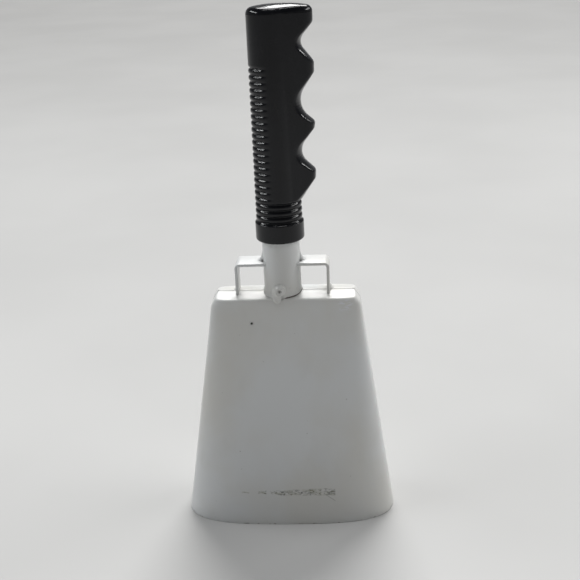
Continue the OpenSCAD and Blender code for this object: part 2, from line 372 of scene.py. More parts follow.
def paint_base(s):
    """White paint, with slow tone changes, faint grime and orange peel: colour, roughness, height."""
    tone = s.noise((42, 42, 55), detail=3.0)
    grime = s.patches(0.52, 0.78, (15, 15, 26), (3, 5, 7), detail=5.0, rough=0.6)
    speck = s.step(s.cells(5.5, (1, 2, 3)), 0.05, 0.085, 1.0, 0.0)
    speck = s.both(speck, s.patches(0.55, 0.62, 9, (8, 1, 4)))
    colour = s.mix(s.step(tone, 0.35, 0.7), PAINT, PAINT_WARM)
    colour = s.tint(colour, grime, 0.10, (0.46, 0.45, 0.41))
    colour = s.tint(colour, speck, 0.35, (0.20, 0.18, 0.15))
    rough = s.scaled(s.noise(6, (2, 9, 1), detail=4.0), 0.16, 0.27)
    rough = s.scaled(grime, 0.12, rough)
    peel = s.noise(1.5, (4, 4, 4), detail=2.0)
    ripple = s.noise((7, 7, 9), (6, 2, 5), detail=2.0)
    height = s.scaled(ripple, 2.0, peel)
    return colour, rough, height


def foot_crack(s, colour):
    """Rust where the tube's foot isn't welded, along its front right."""
    across = s.math("POWER", s.math("ADD", s.math("POWER", s.x, 2.0), s.math("POWER", s.y, 2.0)), 0.5)
    ring = s.band(across, (TUBE_R - 1.4) * MM, (TUBE_R - 0.05) * MM, 0.30 * MM)
    stretch = s.both(s.band(s.x, 0.4 * MM, 9.6 * MM, 0.7 * MM), s.step(s.y, 0.5 * MM, -0.8 * MM))
    low = s.step(s.scaled(s.math("ABSOLUTE", s.y), 0.136, s.z),
                 (RIDGE_Z + 0.55) * MM, (RIDGE_Z + 0.22) * MM)
    ragged = s.patches(0.22, 0.42, 1.6, (1, 7, 2), detail=3.0)
    mask = s.both(ring, stretch, low, ragged)
    return s.tint(colour, mask, 0.85, RUST), mask


def shell_paint():
    s = Shader("bell_paint")
    colour, rough, height = paint_base(s)
    front = s.step(s.y, -9.5 * MM, -11.5 * MM)

    # Dark line along the crown's seam, partly the joint's own colour, partly painted shade of its
    # groove; painted shade in the small gaps at its ends; dirt on the lip
    seam_wander = s.math("MULTIPLY", s.math("SUBTRACT", s.noise(5, (2, 2, 2)), 0.5), 0.4 * MM)
    from_seam = s.math("ABSOLUTE", s.math("ADD", s.y, seam_wander))
    seam = s.both(s.step(from_seam, 0.55 * MM, 0.12 * MM), s.step(s.z, 118 * MM, 121 * MM))
    # Painted shade: near-black spots at the seam's two ends stand in for the shade inside small gaps
    # there
    ends = s.either(s.spot((36.3, 0, 126.4), 0.75, 0.35, 0.5), s.spot((-33.6, 0, 126.4), 0.6, 0.3, 0.5))
    colour = s.tint(colour, seam, 0.75, (0.12, 0.115, 0.105))
    colour = s.tint(colour, ends, 0.85, (0.05, 0.045, 0.04))
    lip = s.both(s.step(s.z, 1.1 * MM, 0.1 * MM),
                 s.patches(0.56, 0.64, 2.4, (5, 5, 1), detail=4.0))
    colour = s.tint(colour, lip, 0.7, (0.16, 0.13, 0.10))

    # One chip down to the primer, high on the front
    chip, halo = s.spot(CHIP, 0.62, 0.16, 0.5), s.spot(CHIP, 1.25, 0.6, 0.4)
    colour = s.tint(colour, halo, 0.22, (0.30, 0.30, 0.29))
    # The same near-black colour serves the chip's bare primer here and the painted shade of the weld
    # hollows
    colour = s.mix(chip, colour, CHIP_AND_SHADE_DARK)

    # Rubbed band low on the front: short strokes at its left end, a broken olive-brown smear after them
    along = s.either(
        s.band(s.x, -25.2 * MM, -21.9 * MM, 0.6 * MM),
        s.band(s.x, -16.2 * MM, -12.5 * MM, 0.6 * MM),
        s.band(s.x, -9.4 * MM, 24.2 * MM, 1.0 * MM),
    )
    wander = s.math("MULTIPLY", s.math("SUBTRACT", s.noise(9, (7, 3, 1)), 0.5), 2.4 * MM)
    level = s.math("ABSOLUTE", s.math("SUBTRACT", s.math("ADD", s.z, wander), 18.7 * MM))
    spread = s.step(s.x, -26 * MM, 8 * MM, 0.45 * MM, 1.9 * MM)
    near = s.step(s.math("DIVIDE", level, spread), 0.55, 1.25, 1.0, 0.0)
    strokes = s.patches(0.47, 0.60, (1.5, 1.5, 0.75), (3, 1, 8), detail=5.0, rough=0.65, warp=0.7)
    film = s.patches(0.42, 0.66, (5.5, 5.5, 1.6), (1, 8, 3), detail=4.0)
    rub = s.both(front, along, near)
    olive = s.mix(s.patches(0.42, 0.60, (7, 7, 2.2), (9, 2, 6)),
                  (0.055, 0.06, 0.055), (0.15, 0.145, 0.075))
    colour = s.tint(colour, s.both(rub, film), 0.55, (0.33, 0.33, 0.24))
    colour = s.tint(colour, s.both(rub, strokes), 0.80, olive)

    # Scuffs: a pale one at the right shoulder, a fine one on the right edge, a scratch under the smear
    scuff = s.both(s.spot((32, -11, 122.6), 3.6, 1.6, 2.0),
                   s.patches(0.50, 0.60, (2.6, 2.6, 0.8), (4, 6, 2), detail=3.0))
    nick = s.both(s.spot((43.4, -14.2, 96.5), 2.0, 0.8, 1.2),
                  s.patches(0.52, 0.60, (1.3, 1.3, 0.7), (6, 1, 2), detail=3.0))
    tail = s.both(s.band(s.x, 19.5 * MM, 24.5 * MM, 0.6 * MM), front,
                  s.step(s.math("ABSOLUTE", s.math("ADD", s.scaled(s.x, 0.75, s.z), -31.9 * MM)),
                         0.34 * MM, 0.1 * MM))
    colour = s.tint(colour, scuff, 0.5, (0.80, 0.81, 0.88))
    colour = s.tint(colour, nick, 0.5, (0.45, 0.47, 0.52))
    colour = s.tint(colour, tail, 0.5, (0.22, 0.22, 0.20))

    colour, crack = foot_crack(s, colour)
    worn = s.either(chip, s.both(rub, strokes), crack)
    height = s.scaled(worn, -2.2, height)
    rough = s.scaled(s.either(worn, seam), 0.35, rough, clamp=True)
    return s.finish(colour, rough, s.bump(height, 0.55, 0.035), specular=0.5)


def inner_paint():
    """Thin overspray inside the bell: grey, dry, freckled with rust near the lip and the seams."""
    s = Shader("bell_inner_paint")
    cloud = s.noise((22, 22, 30), (1, 4, 2), detail=5.0, rough=0.6)
    colour = s.mix(s.step(cloud, 0.35, 0.68), (0.52, 0.53, 0.53), (0.30, 0.305, 0.30))
    freckles = s.patches(0.60, 0.68, 1.4, (3, 9, 2), detail=5.0, rough=0.7)
    patches = s.patches(0.50, 0.64, 17, (6, 3, 1), detail=3.0)
    near_seam = s.step(s.math("ABSOLUTE", s.y), 5 * MM, 1 * MM)
    rust = s.both(freckles, s.either(patches, near_seam))
    colour = s.tint(colour, rust, 0.7, (0.12, 0.055, 0.03))
    rough = s.scaled(s.noise(3, (2, 2, 9), detail=4.0), 0.2, 0.5)
    height = s.scaled(rust, 0.8, s.noise(0.8, (1, 1, 1), detail=4.0))
    return s.finish(colour, rough, s.bump(height, 0.6, 0.05), specular=0.4)


UNDERCUT_SHADE_SPOTS = ((-9.9, -1.3, 143.4), (9.7, -1.7, 143.4))


def undercut_shade(s):
    """Painted shade: dark spots standing in for the shade in the hollows where the welds on top of the
    straps begin.
    """
    return s.either(*[s.spot(place, 0.75, 0.35, 0.7) for place in UNDERCUT_SHADE_SPOTS])


def steel_paint():
    """The same paint on the straps, the tube and the staple, with painted shade in the hollows beside
    the welds.
    """
    s = Shader("strap_paint")
    colour, rough, height = paint_base(s)
    thin = s.both(s.patches(0.60, 0.72, 3.2, (7, 7, 3), detail=5.0),
                  s.patches(0.48, 0.60, 14, (2, 5, 9)))
    colour = s.tint(colour, thin, 0.18, (0.36, 0.35, 0.32))
    colour, crack = foot_crack(s, colour)
    # Painted shade: the hollows beside the welds are darkened nearly to black in the colour, and sunk
    # in the bump
    hollow = undercut_shade(s)
    colour = s.tint(colour, hollow, 0.8, CHIP_AND_SHADE_DARK)
    height = s.scaled(s.either(crack, hollow), -2.0, height)
    return s.finish(colour, rough, s.bump(height, 0.55, 0.035), specular=0.5)


def weld_paint():
    """Paint over weld metal: the same white, filled with fine ripples and the odd spatter pit, with
    painted shade in the ripples' hollows, in the pits and where the strap welds begin.
    """
    s = Shader("weld_paint")
    colour, rough, height = paint_base(s)
    ripple = s.noise((1.1, 1.1, 0.6), (2, 6, 4), detail=4.0, rough=0.6)
    # Painted shade: the low parts of the ripple, which the bump also sinks, are darkened in the colour
    hollow = s.step(ripple, 0.46, 0.30)
    colour = s.tint(colour, hollow, 0.28, (0.34, 0.34, 0.33))
    # Painted shade: two pits on the front tack and the hollows where the strap welds begin are darkened
    # nearly to black, and sunk in the bump
    pit = s.either(s.spot((-1.4, -11.0, 130.0), 0.6, 0.5, 1.4),
                   s.spot((0.1, -11.0, 127.0), 0.7, 0.4, 0.7), undercut_shade(s))
    colour = s.tint(colour, pit, 0.6, (0.07, 0.065, 0.06))
    height = s.scaled(ripple, 1.6, height)
    height = s.scaled(pit, -2.0, height)
    return s.finish(colour, rough, s.bump(height, 0.65, 0.07), specular=0.5)


def raw_weld():
    """Seam beads inside: overspray on scaly weld metal, browned by heat."""
    s = Shader("inner_weld")
    scale = s.noise(1.0, (5, 1, 1), detail=5.0, rough=0.65)
    heat = s.patches(0.42, 0.62, 6, (8, 3, 3), detail=3.0)
    colour = s.mix(heat, (0.36, 0.36, 0.35), (0.15, 0.105, 0.07))
    colour = s.mix(s.step(scale, 0.44, 0.30), colour, (0.05, 0.035, 0.028))
    rough = s.scaled(scale, 0.3, 0.42)
    return s.finish(colour, rough, s.bump(scale, 0.8, 0.12), specular=0.45)


def vinyl():
    """Black moulded grip: satin gloss, flow haze, hairline scratches, a little dust in the notches."""
    s = Shader("grip_vinyl")
    haze = s.noise((12, 12, 34), (1, 2, 8), detail=4.0)
    colour = s.mix(s.step(haze, 0.38, 0.70), (0.0034, 0.0037, 0.0052), (0.0060, 0.0065, 0.0085))
    axis_x = s.scaled(s.z, math.tan(math.radians(LEAN_LEFT)), s.x)
    dust = s.both(s.patches(0.60, 0.72, 0.5, (7, 2, 2), detail=4.0),
                  s.patches(0.50, 0.66, 10, (2, 8, 1), detail=3.0))
    colour = s.tint(colour, dust, 0.30, (0.10, 0.095, 0.085))
    worn = s.step(axis_x, 15 * MM, 20.5 * MM)
    scratch = s.both(
        s.patches(0.60, 0.64, (0.16, 9.0, 0.5), (3, 3, 7), detail=2.0),
        s.patches(0.50, 0.62, 8, (9, 1, 3)),
    )
    rough = s.scaled(s.noise((5, 5, 9), (6, 6, 2), detail=4.0), 0.12, 0.10)
    rough = s.scaled(worn, 0.07, rough)
    rough = s.scaled(s.either(scratch, dust), 0.16, rough)
    grain = s.noise(0.45, (4, 1, 6), detail=3.0)
    flow = s.noise((4, 4, 14), (1, 6, 6), detail=2.0)
    height = s.scaled(flow, 1.0, s.math("MULTIPLY", grain, 0.12))
    height = s.scaled(scratch, -0.4, height)
    return s.finish(colour, rough, s.bump(height, 0.32, 0.03), specular=0.33)


def plated():
    """Zinc plate on wire: drawn lines, cloudy passivation, dark in the scratches."""
    s = Shader("zinc_plate")
    cloud = s.noise((5, 5, 7), (2, 1, 5), detail=5.0, rough=0.6)
    colour = s.mix(s.step(cloud, 0.36, 0.66), (0.60, 0.59, 0.55), (0.43, 0.42, 0.40))
    bloom = s.both(s.patches(0.58, 0.68, 1.2, (8, 4, 1), detail=4.0),
                   s.patches(0.50, 0.62, 7, (1, 1, 8)))
    colour = s.tint(colour, bloom, 0.6, (0.30, 0.24, 0.18))
    drawn = s.noise((0.4, 0.4, 6.0), (3, 5, 5), detail=3.0)
    rough = s.scaled(cloud, 0.25, 0.25)
    rough = s.scaled(bloom, 0.3, rough, clamp=True)
    metal = s.scaled(bloom, -0.7, 1.0)
    height = s.scaled(bloom, 0.6, drawn)
    return s.finish(colour, rough, s.bump(height, 0.5, 0.03), metallic=metal)


def ball_metal():
    """Turned steel ball: oxide skin, bright where it strikes the walls, small dents."""
    s = Shader("ball_steel")
    skin = s.noise(4, (2, 6, 3), detail=5.0, rough=0.6)
    colour = s.mix(s.step(skin, 0.38, 0.64), (0.38, 0.37, 0.35), (0.20, 0.19, 0.18))
    centre_z = (BALL_LOW[2] + BALL_HIGH[2]) / 2
    belt = s.both(s.band(s.z, (centre_z - 2.6) * MM, (centre_z + 2.0) * MM, 1.8 * MM),
                  s.step(s.math("ABSOLUTE", s.x), 4.5 * MM, 7.0 * MM),
                  s.patches(0.36, 0.56, 1.6, (1, 1, 4), detail=4.0))
    colour = s.mix(belt, colour, (0.62, 0.61, 0.58))
    dents = s.step(s.cells(3.4, (5, 2, 8)), 0.12, 0.30, 1.0, 0.0)
    spots = s.both(s.patches(0.60, 0.70, 1.1, (7, 1, 4), detail=4.0),
                   s.math("SUBTRACT", 1.0, belt))
    colour = s.tint(colour, spots, 0.6, (0.14, 0.075, 0.045))
    rough = s.scaled(belt, -0.14, s.scaled(skin, 0.2, 0.33))
    height = s.scaled(dents, -1.4, s.noise(0.7, (1, 2, 1), detail=3.0))
    metal = s.scaled(spots, -0.6, 1.0)
    return s.finish(colour, rough, s.bump(height, 0.5, 0.06), metallic=metal)


def floor_material():
    s = Shader("floor_pale")
    tone = s.noise(260, detail=3.0)
    colour = s.mix(s.step(tone, 0.3, 0.7), (0.47, 0.47, 0.465), (0.50, 0.50, 0.495))
    return s.finish(colour, 0.75, s.bump(s.noise(1.5, detail=2.0), 0.15, 0.05), specular=0.2)


# ---- bell ----

def on_outline(shape, slope):
    """Point of a superellipse whose outward normal has the given slope, first quadrant."""
    half_w, half_d, power = shape
    if slope > 1e9:
        return np.array([0.0, half_d])
    tangent = (slope * half_d / half_w) ** (power / (2 * (power - 1)))
    turn = math.atan(tangent)
    return np.array([half_w * math.cos(turn) ** (2 / power), half_d * math.sin(turn) ** (2 / power)])


def outline_slopes(count):
    """Normal slopes at points spread evenly over a quarter of the mouth, from the side to the front."""
    half_w, half_d, power = MOUTH
    turn = np.linspace(0, math.pi / 2, 4000)
    x, y = half_w * np.cos(turn) ** (2 / power), half_d * np.sin(turn) ** (2 / power)
    run = np.concatenate([[0], np.cumsum(np.hypot(np.diff(x), np.diff(y)))])
    wanted = np.concatenate([[0, 0.35], np.linspace(0.9, run[-1], count)])
    at_y = np.interp(wanted, run, y)
    at_x = np.interp(wanted, run, x)
    slopes = [(yy / half_d) ** (power - 1) / half_d / max((xx / half_w) ** (power - 1) / half_w, 1e-15)
              for xx, yy in zip(at_x, at_y)]
    slopes[-1] = 1e12
    return slopes


def inset(shape, by):
    return (shape[0] - by, shape[1] - by, shape[2])


def shell_column(slope, corner_x, side, seam_drop):
    """Closed loop round one column of a half shell: outside from ridge to lip, inside back up."""
    def corners(by):
        mouth = np.append(on_outline(inset(MOUTH, by), slope), 0.0)
        shoulder = np.append(on_outline(inset(SHOULDER, by), slope), SHOULDER_Z)
        crease = np.append(on_outline(inset(CREASE, by), slope), CREASE_Z - by)
        half = RIDGE_HALF - by
        ridge = np.array([min(crease[0] * half / (CREASE[0] - by), half), 0.0, RIDGE_Z - by])
        return mouth, shoulder, crease, ridge

    def between(a, b, shares):
        return [a + (b - a) * share for share in shares]

    def toward(a, b, distance):
        return a + (b - a) * distance / np.linalg.norm(b - a)

    mouth, shoulder, crease, ridge = corners(0.0)
    width = np.linalg.norm(crease - ridge)
    bevel = min(0.32, width / 3)
    loop = [ridge - [0, 0, 0.22], toward(ridge, crease, bevel)]
    start = toward(crease, ridge, min(1.0, width / 3))
    loop += between(loop[-1], start, (0.2, 0.4, 0.6, 0.8, 1.0))
    loop += list(bezier(start, crease, toward(crease, shoulder, 0.9), 6))
    last = toward(shoulder, crease, 1.1)
    loop += list(bezier(last, shoulder, toward(shoulder, mouth, 3.0), 7))
    lip = 0.42
    wall_end = toward(mouth, shoulder, lip)
    loop += between(loop[-1], wall_end, np.linspace(0, 1, 46)[1:])
    outside = len(loop)
    inner_mouth, inner_shoulder, inner_crease, inner_ridge = corners(SHEET)
    outward = (mouth - inner_mouth) / np.linalg.norm(mouth - inner_mouth)
    loop += list(bezier(wall_end, mouth, mouth - outward * lip, 5))
    inner_start = toward(inner_mouth, inner_shoulder, lip)
    loop += [inner_mouth + outward * lip]
    loop += list(bezier(loop[-1], inner_mouth, inner_start, 5))
    loop += between(inner_start, toward(inner_shoulder, inner_mouth, 2.0), np.linspace(0, 1, 34)[1:])
    loop += list(bezier(loop[-1], inner_shoulder, toward(inner_shoulder, inner_crease, 0.9), 4))
    loop += list(bezier(toward(inner_crease, inner_shoulder, 0.8), inner_crease,
                        toward(inner_crease, inner_ridge, 0.8), 4))
    loop += between(loop[-1], inner_ridge, (0.25, 0.5, 0.75, 1.0))
    loop = np.array(loop)
    loop[:outside, 0] -= seam_drop
    loop[:, 0] *= corner_x
    loop[:, 0] += CROWN_SHIFT * np.minimum(loop[:, 2] / SHOULDER_Z, 1)
    loop[:, 1] *= side
    return loop


def shell(side):
    """One half of the bell, with the sheet's slight waves pressed inwards."""
    right = [(slope, 1.0) for slope in outline_slopes(74)]
    left = [(slope, -1.0) for slope, _ in right[-2::-1]]
    columns = [shell_column(slope, corner_x, side, 0.05 if slope == right[0][0] else 0.0)
               for slope, corner_x in right + left]
    verts, faces = loft(columns)
    wave = lumps(verts, 38.0, 11.0 if side < 0 else 47.0, octaves=2)
    depth = (0.5 + 0.5 * wave) * 0.34 * ramp(verts[:, 2], 0.5, 22) * ramp(verts[:, 2], 121, 106)
    length = np.hypot(verts[:, 0] / MOUTH[0] ** 2, verts[:, 1] / MOUTH[1] ** 2) + 1e-9
    keep = ramp(np.abs(verts[:, 1]), 0.0, 2.0)
    verts[:, 0] -= verts[:, 0] / MOUTH[0] ** 2 / length * depth * keep
    verts[:, 1] -= verts[:, 1] / MOUTH[1] ** 2 / length * depth * keep
    return verts, faces


def inside_the_bell(centre, normal):
    """1 for a face of the inner surface, 0 for the outside and the lip."""
    x, y, z = centre
    if z < 0.7:
        return 0
    if z > CREASE_Z - 0.6 and normal[2] > 0:
        return 0
    return 1 if x * normal[0] + y * normal[1] < 0 or normal[2] < -0.6 else 0


def bead(path, radius, pitch, seed):
    """Weld bead along a path: overlapping scallops on a round section."""
    path = np.asarray(path, float)
    run = np.concatenate([[0], np.cumsum(np.linalg.norm(np.diff(path, axis=0), axis=1))])
    scallop = np.mod(run / pitch + 0.15 * lumps(path, 9.0, seed, 1), 1.0)
    size = radius * (0.86 + 0.14 * np.sqrt(np.clip(1 - (2 * scallop - 1) ** 2, 0, 1)))
    size *= 0.25 + 0.75 * ramp(run, 0, 2.2) * ramp(run, run[-1], run[-1] - 2.2)
    verts, faces = sweep(path, size, sides=20)
    verts += 0.09 * lumps(verts, 1.6, seed + 3, 2)[:, None]
    return verts, faces


def side_seam(sign, low_z, high_z):
    """Path of the bead up the inside of a side wall, half sunk in it."""
    z = np.arange(low_z, high_z, 0.28)
    x = (MOUTH[0] - SHEET) + (SHOULDER[0] - MOUTH[0]) * z / SHOULDER_Z
    drift = 0.22 * np.array([ripple_at(0.0, sign * 5.0, height / 7) for height in z])
    return np.stack([sign * (x - 0.62) + CROWN_SHIFT * z / SHOULDER_Z, drift, z], 1)


def crown_seam(sign, start, end):
    x = np.arange(start, end, 0.28)
    z = np.full_like(x, RIDGE_Z - SHEET - 0.62)
    drift = 0.2 * np.array([ripple_at(value / 6, sign * 3.0, 0.0) for value in x])
    return np.stack([sign * x, drift, z], 1)


def crown_at(y):
    """Height of the crown's outer face at a distance from the seam."""
    return RIDGE_Z - (RIDGE_Z - CREASE_Z) * np.abs(y) / CREASE[1]


# ---- straps and their welds ----

def strap(sign):
    """L-shaped strip: a rounded flat section carried up from the crown, round the bend, to the tube."""
    out, top = STRAP_HIGH[0], STRAP_HIGH[2]
    half_w, thick = (STRAP_HIGH[1] - STRAP_LOW[1]) / 2, 1.5
    middle, bend_r = thick / 2, 2.6 - 0.75
    foot_z = RIDGE_Z - 0.55
    bend_centre = np.array([out - middle - bend_r, top - middle - bend_r])
    up = [[out - middle, z] for z in np.linspace(foot_z, bend_centre[1], 26)[:-1]]
    turn = arc(bend_centre, bend_r, 0, 90, 14).tolist()
    level = [[x, top - middle] for x in np.linspace(bend_centre[0], TUBE_R - 3.2, 26)[1:]]
    path = np.array(up + turn + level)
    tangents = np.gradient(path, axis=0)
    tangents /= np.linalg.norm(tangents, axis=1)[:, None]
    corner = 0.5
    quarter = arc((0, 0), corner, 0, 90, 5)
    section = []
    for cx, cy, start in ((1, 1, 0), (-1, 1, 90), (-1, -1, 180), (1, -1, 270)):
        spin = math.radians(start)
        cos, sin = math.cos(spin), math.sin(spin)
        for px, py in quarter:
            section.append([cx * (half_w - corner) + px * cos - py * sin,
                            cy * (middle - corner) + px * sin + py * cos])
    section = np.array(section)
    rings = []
    for (x, z), (tx, tz) in zip(path, tangents):
        sway = 0.07 * ripple_at(x / 9, sign * 4.0, z / 9)
        ring = np.stack([
            x + section[:, 1] * tz,
            section[:, 0] + sway + (STRAP_LOW[1] + STRAP_HIGH[1]) / 2,
            z - section[:, 1] * tx,
        ], 1)
        if z < RIDGE_Z + 0.5:
            ring[:, 2] -= (RIDGE_Z - crown_at(ring[:, 1])) * ramp(z, RIDGE_Z + 0.5, foot_z)
        rings.append(ring * [sign, 1, 1])
    return loft(rings)


def upright(outline, sign, y):
    """Loop in the XZ plane at a given y, mirrored to the left when the sign is -1."""
    return np.stack([outline[:, 0] * sign, np.full(len(outline), y), outline[:, 1]], 1)


def foot_fillet(sign, seed, reach, height):
    """Weld outside a strap's foot, on the rear part of the crown, lumpy, thinning to its ends."""
    face_x = STRAP_HIGH[0]
    middle, half = (FOOT_LOW[1] + FOOT_HIGH[1]) / 2, (FOOT_HIGH[1] - FOOT_LOW[1]) / 2
    rings = []
    for along in np.linspace(-1, 1, 46):
        y = middle + half * along
        share = max(1 - abs(along) ** 3, 0.0) ** 0.6 * 0.97 + 0.03
        base = crown_at(y)
        bite = 0.22 * ripple_at(y / 1.7, seed, sign)
        toe = np.array([face_x + (reach + bite) * share, base - 0.12])
        top = np.array([face_x - 0.15, base + (height + bite) * share])
        hollow = np.array([face_x + 0.36 * reach * share, base + 0.36 * height * share])
        curve = np.vstack([[top], bezier(top, hollow, toe, 9)])
        inner = np.array([[face_x + 0.2, base - 0.5], [face_x - 0.4, base - 0.4]])
        ring = np.vstack([curve, inner])
        rings.append(upright(ring, sign, y))
    verts, faces = loft(rings)
    shown = verts[:, 2] > crown_at(verts[:, 1]) + 0.1
    verts[:, 0] += sign * 0.09 * lumps(verts, 1.1, seed, 2) * shown
    return verts, faces


def tube_centre(z):
    """Where the leaning tube's axis is at a height."""
    return leaned([[0, 0, z]])[0][:2]


def top_fillet(sign, seed):
    """Concave weld round the rear part of the tube, from a strap's upper face up the tube."""
    top = STRAP_HIGH[2]
    rise = TOP_HIGH[2] - top
    middle, half = (TOP_LOW[1] + TOP_HIGH[1]) / 2, (TOP_HIGH[1] - TOP_LOW[1]) / 2
    rings = []
    for along in np.linspace(-1, 1, 60):
        y = middle + half * along
        share = max(1 - abs(along) ** 5, 0.0) ** 0.6 * 0.985 + 0.015
        bite = 0.16 * ripple_at(y / 1.5, seed, sign * 2.0)
        low_x, low_y = tube_centre(top)
        high_x, high_y = tube_centre(top + rise)
        low_wall = sign * low_x + math.sqrt(TUBE_R ** 2 - (y - low_y) ** 2)
        high_wall = sign * high_x + math.sqrt(TUBE_R ** 2 - (y - high_y) ** 2)
        toe_x = math.sqrt((TUBE_R + 3.7 + bite) ** 2 - y ** 2)
        toe = np.array([low_wall + (toe_x - low_wall) * share, top - 0.1])
        peak = np.array([high_wall - 0.12, top + (rise + bite) * share])
        hollow = np.array([low_wall + 0.35 * share, top + 0.55 * share])
        curve = np.vstack([[peak], bezier(peak, hollow, toe, 15)])
        inner = np.array([[low_wall + 0.1, top - 0.5], [low_wall - 0.7, top - 0.4],
                          [high_wall - 0.8, peak[1] - 0.2]])
        ring = np.vstack([curve, inner])
        rings.append(upright(ring, sign, y))
    verts, faces = loft(rings)
    shown = ramp(verts[:, 2], top, top + 0.5)
    verts[:, 0] += sign * 0.05 * lumps(verts, 1.3, seed, 2) * shown
    return verts, faces


# ---- tube and its tack welds ----

def tube():
    """Painted tube: its foot follows the roof of the crown, flares where paint fills the joint, and
    stands a little clear along the unwelded front right."""
    turns = circle(144)
    cos, sin = np.cos(turns), np.sin(turns)
    degrees = np.degrees(np.arctan2(sin, cos))
    open_arc = ramp(degrees, -88, -74) * ramp(degrees, 6, -10)
    gap = open_arc * (0.42 - 0.30 * ramp(degrees, -78, -8))
    base = crown_at(TUBE_R * sin)
    foot = np.where(open_arc > 0, base + gap, base - 0.1)
    rings = []

    def ring(radius, z):
        rings.append(np.stack([radius * cos, radius * sin, z + 0 * cos], 1))

    inner = TUBE_R - TUBE_WALL
    for height in (6.0, 3.0, 1.0, 0.12):
        ring(inner, foot + height)
    ring(inner + 0.3, foot)
    ring(TUBE_R - 0.35, foot)
    flare = (1 - open_arc) * 0.85 + 0.10
    for height in (0.06, 0.25, 0.5, 0.8, 1.15, 1.6, 2.1, 2.7, 3.4, 4.3, 5.4):
        ring(TUBE_R - 0.02 + flare * np.exp(-height / 1.3), foot + height)
    for z in np.linspace(RIDGE_Z + 7, GRIP_Z + 6, 40):
        ring(TUBE_R, z)
    for z in np.linspace(GRIP_Z + 12, TUBE_TOP - 0.4, 12):
        ring(TUBE_R - 0.05, z)
    ring(TUBE_R - 0.4, TUBE_TOP)
    ring(inner, TUBE_TOP)
    ring(inner, TUBE_TOP - 20)
    verts, faces = loft([leaned(r) for r in rings])
    return verts, faces[:-2] + bridge_ends(len(turns), len(rings))


def bridge_ends(count, rows):
    """Joins the last ring of a wall to its first, so that a tube is one closed skin."""
    last = (rows - 1) * count
    return [[last + i, last + (i + 1) % count, (i + 1) % count, i] for i in range(count)]


def tack(centre, outline, rise, surface, pit=None, seed=0.0, rings=26, sides=84):
    """Weld blob on a wall: outline(turn) is its edge, surface(x, z) the wall's y, rise its height."""
    turns = circle(sides)
    edge = np.array([outline(turn) for turn in turns])
    front, back = [], []
    for share in np.linspace(1, 0.02, rings):
        x = centre[0] + edge * np.cos(turns) * share
        z = centre[1] + edge * np.sin(turns) * share
        dome = rise(x, z) * (1 - share ** 2.6) ** 0.55
        if pit is not None:
            away = np.hypot(x - pit[0], z - pit[1])
            spin = np.arctan2(z - pit[1], x - pit[0])
            dome -= 1.05 * np.exp(-(away / 0.75) ** 2)
            dome += 0.36 * np.exp(-((away - 2.2) / 0.7) ** 2)
            dome += 0.12 * np.cos(4.6 * away - spin) * np.exp(-((away - 1.8) / 1.2) ** 2)
        rough = 0.13 * lumps(np.stack([x, z, 0 * x], 1), 1.5, seed, 2) * (1 - share ** 6)
        front.append(np.stack([x, surface(x, z) - surface.out * (dome + rough - 0.12), z], 1))
        back.append(np.stack([x, surface(x, z) + surface.out * 0.75, z], 1))
    return loft(front[::-1] + [back[0]] + [back[-1]])


class WallFront:
    """The front of the tube, then the crown's edge and the front wall below it."""
    out = 1.0

    def __call__(self, x, z):
        shift_x, shift_y = tube_centre(130)
        tube_y = shift_y - np.sqrt(np.maximum(TUBE_R ** 2 - (x - shift_x) ** 2, 1.0))
        below = (CREASE_Z - np.minimum(z, CREASE_Z)) * (SHOULDER[1] - CREASE[1])
        wall_y = -CREASE[1] + below / (SHOULDER_Z - CREASE_Z)
        share = ramp(z, 125.0, 127.6)
        return wall_y * (1 - share) + tube_y * share


class WallRear:
    out = -1.0

    def __call__(self, x, z):
        shift_x, shift_y = tube_centre(128)
        tube_y = shift_y + np.sqrt(np.maximum(TUBE_R ** 2 - (x - shift_x) ** 2, 1.0))
        share = ramp(z, 125.2, 127.4)
        return CREASE[1] * (1 - share) + tube_y * share


COMMA = ((1.9, 5.3), (3.6, 4.6), (4.7, 3.0), (4.5, 1.3), (3.1, -0.6), (2.0, -1.9), (1.9, -3.5),
         (0.9, -4.9), (-1.1, -4.4), (-2.3, -2.4), (-2.6, 0.0), (-2.1, 2.4), (-0.5, 4.4))


def comma(turn):
    """Edge of the front tack: a round upper lobe whose left side runs on down over the crease."""
    corners = sorted((math.atan2(z, x), math.hypot(x, z)) for x, z in COMMA)
    turns = np.array([corner[0] for corner in corners])
    reach = np.array([corner[1] for corner in corners])
    turns = np.concatenate([turns - 2 * math.pi, turns, turns + 2 * math.pi])
    reach = np.tile(reach, 3)
    nearby = (turn + math.pi) % (2 * math.pi) - math.pi + np.linspace(-0.22, 0.22, 9)
    return float(np.interp(nearby, turns, reach).mean())


# ---- grip ----

FINGERS = ((21.2, GRIP_TOP, 3.2), (21.0, 261.4, 2.0), (13.1, 252.0, 5.3), (20.7, 242.2, 2.0),
           (20.5, 237.7, 2.0), (9.9, 222.4, 10.6), (20.0, 213.7, 1.6), (19.6, 210.9, 1.6),
           (10.3, 198.9, 8.2), (19.5, 189.8, 1.8), (19.3, 186.2, 1.8), (10.4, 173.2, 0.5))
NOSE_R, NOSE_X, SIDE_R = 6.6, 14.1, 10.5


